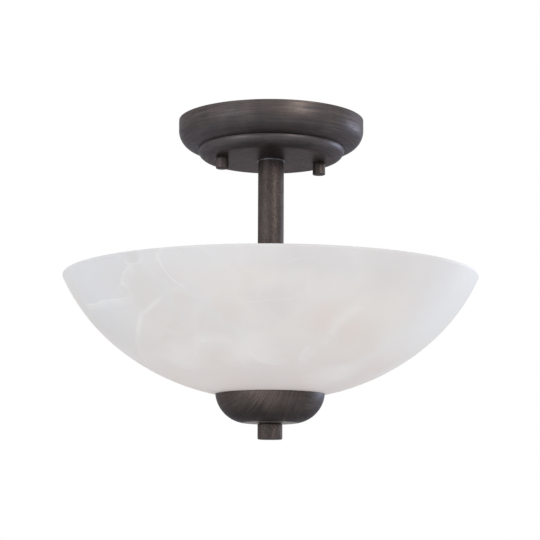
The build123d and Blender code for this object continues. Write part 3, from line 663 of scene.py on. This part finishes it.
finishes = {
    # painted light: the canopy's dark bronze is raised and made bluer, its lower wall is made lighter and
    # bluer, and its flat bottom warmer and darker
    "canopy": bronze("canopyBronze", around=3.2, across=2400.0, dark=(0.060, 0.056, 0.061),
                     paintedLightTints=[((1.10, 1.17, 1.26), -20.0, -10.0), ((0.88, 0.74, 0.67), -32.0, -31.0)]),
    "stem": bronze("stemBronze", strokes=0.05, stretch=0.4, contrast=0.17, dull=0.07, grainSize=1900.0),
    "cap": capBronze(),
    "finial": bronze("finialBronze", strokes=0.15, wear=0.0005, contrast=0.2, dull=0.1),
    "housing": bronze("housingBronze", strokes=0.2, stretch=0.8),
    "zinc": plated("brightZinc", (0.60, 0.61, 0.63), (0.42, 0.43, 0.45), 0.3),
    "nickel": plated("checkRingNickel", (0.36, 0.38, 0.42), (0.20, 0.21, 0.24), 0.4),
    "brass": plated("drawnBrass", (0.75, 0.56, 0.27), (0.55, 0.38, 0.17), 0.27),
    "copper": plated("bareCopper", (0.72, 0.36, 0.22), (0.48, 0.22, 0.13), 0.33),
    "solder": plated("solder", (0.50, 0.50, 0.50), (0.33, 0.33, 0.34), 0.4),
    "green": molded("greenCoat", (0.03, 0.23, 0.07), (0.05, 0.32, 0.11), 0.3),
    "phenolic": molded("phenolic", (0.022, 0.019, 0.018), (0.04, 0.034, 0.03), 0.38),
    "rubber": molded("blackRubber", (0.018, 0.018, 0.018), (0.03, 0.03, 0.03), 0.7, bumpHeight=0.0001),
    "nylon": molded("nylon", (0.70, 0.69, 0.64), (0.60, 0.59, 0.54), 0.4),
    "blackWire": molded("blackInsulation", (0.012, 0.012, 0.013), (0.022, 0.022, 0.024), 0.42),
    "whiteWire": molded("whiteInsulation", (0.74, 0.73, 0.69), (0.64, 0.62, 0.57), 0.42),
    "connector": molded("connectorPlastic", (0.78, 0.25, 0.03), (0.68, 0.20, 0.02), 0.4),
    "vitrite": molded("vitrite", (0.008, 0.008, 0.01), (0.016, 0.016, 0.02), 0.15),
    "bulb": molded("softWhiteGlass", (0.84, 0.84, 0.83), (0.82, 0.82, 0.805), 0.26,
                   grainSize=700.0, bumpHeight=0.00001),
    "alabaster": alabaster("alabasterGlass"),
}
# Which finish each piece takes. A name without its last word stands for the left and right or upper and
# lower ones, and pieces that are not listed are zinc plated.
pieceFinish = {
    "canopy": "canopy", "upper_check_ring": "nickel", "stem_tube": "stem", "bottom_cap": "cap",
    "finial": "finial", "finial_washer": "finial", "cluster_housing": "housing",
    "cluster_cover": "housing", "cluster_cover_screw": "housing", "ground_screw": "green",
    "bowl_stop_gasket": "rubber", "cap_gasket": "rubber", "bowl_bushing": "nylon",
    "ground_lug": "copper", "ground_lead": "copper", "wire_connectors": "connector",
    "glass_bowl": "alabaster", "socket_body": "phenolic", "socket_shell": "brass",
    "socket_contact": "brass", "bulb_globe": "bulb", "bulb_base": "brass",
    "bulb_insulator": "vitrite", "bulb_contact": "solder", "hot_lead": "blackWire",
    "neutral_lead": "whiteWire",
}
for side in ("left", "right"):
    name = "knob_nut_" + side
    # painted light: the knobs' dark bronze is raised above the shared one, so they read as more lit
    finishes[name] = bronze("knobBronze_" + side, center=middle(name), strokes=0.15, wear=0.0004,
                            contrast=0.2, dull=0.06, dark=(0.070, 0.063, 0.063))
    pieceFinish[name] = name
    pieceFinish["knob_washer_" + side] = name
for name, node in nodes.items():
    kind = name if name in pieceFinish else name.rsplit("_", 1)[0]
    node.data.materials.clear()
    node.data.materials.append(finishes[pieceFinish.get(kind, "zinc")])
print("finishes assigned:", len(finishes))


# Threads, connectors and bulb caps are modelled here as grids of points run round an axis
def joinedSkin(name, grids, looped=False):
    # Each grid is rows x columns of points, its columns counterclockwise seen from the far end and its
    # rows running along the outside. A looped grid joins its last row to its first; otherwise a fan
    # closes each end.
    points, faces = [], []
    for grid in grids:
        offset = sum(len(part) for part in points)
        rows, columns = grid.shape[:2]
        row, column = np.meshgrid(np.arange(rows if looped else rows - 1), np.arange(columns), indexing="ij")
        after, beside = (row + 1) % rows, (column + 1) % columns
        row, after = row * columns, after * columns
        corners = [row + column, row + beside, after + beside, after + column]
        points.append(grid.reshape(-1, 3))
        faces += (np.stack(corners, axis=-1).reshape(-1, 4) + offset).tolist()
        if looped:
            continue
        points.append(np.array([grid[0].mean(axis=0), grid[-1].mean(axis=0)]))
        here = np.arange(columns)
        there = np.roll(here, -1)
        last = (rows - 1) * columns
        hub = np.full(columns, rows * columns)
        faces += (np.stack([there, here, hub], axis=-1) + offset).tolist()
        faces += (np.stack([here + last, there + last, hub + 1], axis=-1) + offset).tolist()
    mesh = bpy.data.meshes.new(name)
    mesh.from_pydata(np.vstack(points).tolist(), [], faces)
    mesh.polygons.foreach_set("use_smooth", np.ones(len(mesh.polygons), bool))
    mesh.set_sharp_from_angle(angle=math.radians(40))
    mesh.update()
    piece = bpy.data.objects.new(name, mesh)
    scene.collection.objects.link(piece)
    return piece


def roundAxis(radii, heights, turns, origin, axis):
    # origin + r (cos turn u + sin turn v) + height axis, with u, v and axis at right angles
    axis = np.array(axis, float)
    u = np.array([1.0, 0.0, 0.0] if axis[2] else [0.0, 0.0, -1.0])
    v = np.cross(axis, u)
    across = np.cos(turns)[..., None] * u + np.sin(turns)[..., None] * v
    return np.array(origin) + radii[..., None] * across + heights[..., None] * axis


def standFor(piece, node, finish):
    # the piece takes the CAD node's place, its body and its material slot
    piece.data.materials.append(finishes[finish])
    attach(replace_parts(piece, node), body_of(nodes[node])[0])


# Threaded bars
threadLook = {
    "rowsPerTurn": 10,
    "columns": 36,
    "depthShare": 0.58,
    # in millimetres: thread pitch, how far it runs in from the lower and the upper end, radius of the bore
    "bars": {
        "lower_rod": (25.4 / 27, 50.0, 50.0, 0.0),
        "threaded_pipe": (25.4 / 27, 12.0, 18.0, 3.3),
        "mounting_stud_left": (25.4 / 32, 20.0, 20.0, 0.0),
        "mounting_stud_right": (25.4 / 32, 20.0, 20.0, 0.0),
    },
}


def threadedBar(node, pitch, lowerRun, upperRun, bore):
    low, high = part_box(node)
    crest = (high.x - low.x) / 2
    pitch, lowerRun, upperRun = pitch * mm, lowerRun * mm, upperRun * mm
    depth = threadLook["depthShare"] * pitch
    step = pitch / threadLook["rowsPerTurn"]
    lowerEnd = min(low.z + lowerRun, high.z)
    upperStart = max(high.z - upperRun, lowerEnd)
    levels = np.concatenate([np.arange(low.z, lowerEnd, step), np.arange(upperStart, high.z, step), [high.z]])
    turns = np.linspace(0, 2 * np.pi, threadLook["columns"], endpoint=False)
    heights, turns = np.meshgrid(levels, turns, indexing="ij")
    # r = crest - depth (1 - cos(2 pi z / pitch - turn)) / 2, and the ends are chamfered at 45 degrees
    cut = depth * (1 - np.cos(2 * np.pi * heights / pitch - turns)) / 2
    fromRunEnd = np.maximum(lowerEnd - heights, heights - upperStart)
    radii = crest - np.minimum(cut, np.maximum(fromRunEnd, 0))
    fromEnd = np.minimum(heights - low.z, high.z - heights)
    radii = np.minimum(radii, crest - depth + fromEnd)
    if bore:
        # the bore is two rings, at the far end and back at the near one
        back = slice(None, None, -len(levels) + 1)
        radii = np.vstack([radii, np.full_like(radii[back], bore * mm)])
        heights = np.vstack([heights, heights[back]])
        turns = np.vstack([turns, turns[back]])
    spot = middle(node)
    grid = roundAxis(radii, heights, turns, (spot.x, spot.y, 0), (0, 0, 1))
    standFor(joinedSkin(node + "_thread", [grid], looped=bool(bore)), node, "zinc")


for node, sizes in threadLook["bars"].items():
    threadedBar(node, *sizes)

# Twist-on connectors: a plain skirt, a fluted cone with a rounded tip, and a tapered socket for the wires
connectorLook = {
    "radius": 6.3,
    "skirt": 7.0,
    "length": 22.0,
    "tipRadius": 3.6,
    "tipRounding": 1.4,
    "mouthRadius": 5.2,
    "mouthTaper": 0.03,
    "throatRadius": 2.6,
    "boreLength": 17.0,
    "edge": 0.25,
    "flutes": 9,
    "fluteDepth": 0.55,
    "fluteRunIn": 2.0,
    # x and y of the mouth, and which way along Y the tip points from it
    "places": [(0.0, 31.0, 1), (0.0, -31.0, -1), (28.0, 12.0, 1)],
    "coneRows": 14,
    "tipRows": 6,
    "columnsPerFlute": 16,
}


def flutedConnectors():
    look = connectorLook
    bend = np.linspace(0, np.pi / 2, look["tipRows"] + 1)[1:]
    tipStart = look["length"] - look["tipRounding"]
    cone = np.linspace(look["skirt"], tipStart, look["coneRows"])
    coneRadii = np.interp(cone, [look["skirt"], look["length"]], [look["radius"], look["tipRadius"]])
    mouth, outside, edge = look["mouthRadius"], look["radius"], look["edge"]
    # the socket from its bottom to the mouth, then round the lip to the outside
    socketRadii = [look["throatRadius"], mouth - look["mouthTaper"], mouth + edge, outside - edge, outside]
    socketLevels = [look["boreLength"], edge, 0, 0, edge]
    tipRadii = coneRadii[-1] - look["tipRounding"] * (1 - np.cos(bend))
    radii = np.concatenate([socketRadii, coneRadii, tipRadii])
    levels = np.concatenate([socketLevels, cone, tipStart + look["tipRounding"] * np.sin(bend)])
    fluted = np.clip((levels - look["skirt"]) / look["fluteRunIn"], 0, 1)
    fluted[:len(socketLevels)] = 0
    turns = np.linspace(0, 2 * np.pi, look["columnsPerFlute"] * look["flutes"], endpoint=False)
    # r = outline - depth (1 - |cos(n turn / 2)|), growing in along the start of the cone
    groove = look["fluteDepth"] * (1 - np.abs(np.cos(look["flutes"] * turns / 2)))
    radii = radii[:, None] - fluted[:, None] * groove
    levels, turns = np.meshgrid(levels, turns, indexing="ij")
    height = middle("wire_connectors").z
    grids = [roundAxis(radii * mm, levels * mm, turns, (x * mm, y * mm, height), (0, side, 0))
             for x, y, side in look["places"]]
    standFor(joinedSkin("fluted_connectors", grids), "wire_connectors", "connector")


flutedConnectors()

# Bulb screw caps: rolled thread in thin brass, plain at the collar and drawn in at the foot
capThread = {
    "pitch": 25.4 / 7,
    "depth": 0.8,
    "wall": 0.38,
    "taper": 2.3,
    "footRadius": 11.2,
    "collar": 5.0,
    "rowsPerTurn": 20,
    "columns": 72,
}


def screwCap(side, direction):
    node = "bulb_base_" + side
    low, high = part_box(node)
    pitch, depth = capThread["pitch"] * mm, capThread["depth"] * mm
    crest = (high.z - low.z) / 2
    start, top = sorted((abs(low.x), abs(high.x)))
    taperEnd = start + capThread["taper"] * mm
    collarStart = top - capThread["collar"] * mm
    rolled = np.arange(taperEnd, collarStart, pitch / capThread["rowsPerTurn"])
    levels = np.concatenate([[start], rolled, [collarStart, top]])
    turns = np.linspace(0, 2 * np.pi, capThread["columns"], endpoint=False)
    levels, turns = np.meshgrid(levels, turns, indexing="ij")
    # r = crest - depth (1 - cos(2 pi z / pitch - turn)) / 2, faded out at the taper and at the collar
    fade = np.clip(np.minimum(levels - taperEnd, collarStart - levels) / (pitch / 2), 0, 1)
    wave = (1 - np.cos(2 * np.pi * levels / pitch - turns)) / 2
    radii = crest - depth * wave * fade
    radii[0] = capThread["footRadius"] * mm
    radii = np.vstack([radii, radii[::-1] - capThread["wall"] * mm])
    levels = np.vstack([levels, levels[::-1]])
    turns = np.vstack([turns, turns[::-1]])
    grid = roundAxis(radii, levels, turns, (0, 0, middle(node).z), (direction, 0, 0))
    standFor(joinedSkin(node + "_thread", [grid], looped=True), node, "brass")


screwCap("left", -1)
screwCap("right", 1)
print("threads, connectors and screw caps modelled")

# Studio: white world, pale floor well below the light, soft lamps and one small one
studio = {
    "floorDrop": 0.8,
    "floorSize": 60.0,
    "floorColor": (0.9, 0.9, 0.9),
    "ambient": 0.78,
    # position, size, watts, color
    "lamps": [
        ((0.7, -1.9, 0.4), 0.8, 8.2, (1.0, 0.94, 0.88)),
        ((0.66, -1.85, 0.38), 0.14, 0.9, (1.0, 0.94, 0.88)),
        ((-1.8, -0.9, 0.0), 1.2, 6.0, (0.96, 0.98, 1.0)),
        ((1.75, 0.5, 0.0), 0.7, 9.0, (0.68, 0.81, 1.0)),
    ],
}


def buildFloor():
    height = cadBounds[0].z - studio["floorDrop"]
    bpy.ops.mesh.primitive_plane_add(size=studio["floorSize"], location=(0, 0, height))
    floor = bpy.context.object
    floor.name = "studioFloor"
    material, tree, shader = newMaterial("floorPaper", Roughness=0.9)
    tone = softStep(tree, noise(tree, objectPoint(tree), 900.0, detail=2.0)[0], 0.3, 0.7, 0.985, 1.0)
    tree.links.new(vectorCalc(tree, "SCALE", studio["floorColor"], scale=tone), shader.inputs["Base Color"])
    floor.data.materials.append(material)


def buildWorld():
    # the eye, mirrors and clear glass see plain white; the light on matt surfaces is dimmer
    world = bpy.data.worlds.new("studioWorld")
    scene.world = world
    world.use_nodes = True
    tree = world.node_tree
    tree.nodes.clear()
    path = addNode(tree, "ShaderNodeLightPath")
    seen = calc(tree, "MAXIMUM", path.outputs["Is Camera Ray"], path.outputs["Is Glossy Ray"])
    seen = calc(tree, "MAXIMUM", seen, path.outputs["Is Transmission Ray"])
    background = addNode(tree, "ShaderNodeBackground")
    feed(tree, softStep(tree, seen, 0.0, 1.0, studio["ambient"], 1.0), background.inputs["Strength"])
    background.inputs["Color"].default_value = (1, 1, 1, 1)
    output = addNode(tree, "ShaderNodeOutputWorld")
    tree.links.new(background.outputs[0], output.inputs["Surface"])


def buildLamps():
    target = Vector((0, 0, (cadBounds[0].z + cadBounds[1].z) / 2))
    for index, (position, size, watts, color) in enumerate(studio["lamps"]):
        data = bpy.data.lights.new("softLamp" + str(index), "AREA")
        data.shape = "DISK"
        data.size = size
        data.energy = watts
        data.color = color
        lamp = bpy.data.objects.new(data.name, data)
        lamp.location = position
        lamp.rotation_euler = (target - Vector(position)).to_track_quat("-Z", "Y").to_euler()
        scene.collection.objects.link(lamp)


buildFloor()
buildWorld()
buildLamps()

# Camera: where the photographer stood, from the ellipses of the canopy and the bowl
camera = {
    "distance": 1.3351,
    "azimuth": -16.2,
    "height": -0.3254,
    "pitch": 8.71,
    "pan": 0.02,
    "roll": 0.24,
    "focalShare": 1696.7 / 540,
    "sensor": 36.0,
}


def buildCamera():
    data = bpy.data.cameras.new("photoCamera")
    data.sensor_width = camera["sensor"]
    data.lens = camera["focalShare"] * camera["sensor"]
    eye = bpy.data.objects.new("photoCamera", data)
    turn = math.radians(camera["azimuth"])
    distance = camera["distance"]
    place = Vector((math.sin(turn) * distance, -math.cos(turn) * distance, camera["height"]))
    facing = Matrix.Rotation(turn + math.radians(camera["pan"]), 4, "Z")
    tilted = Matrix.Rotation(math.radians(90 + camera["pitch"]), 4, "X")
    rolled = Matrix.Rotation(math.radians(camera["roll"]), 4, "Z")
    eye.matrix_world = Matrix.Translation(place) @ facing @ tilted @ rolled
    scene.collection.objects.link(eye)
    scene.camera = eye


buildCamera()
scene.view_settings.view_transform = "Standard"
print("studio and camera ready")
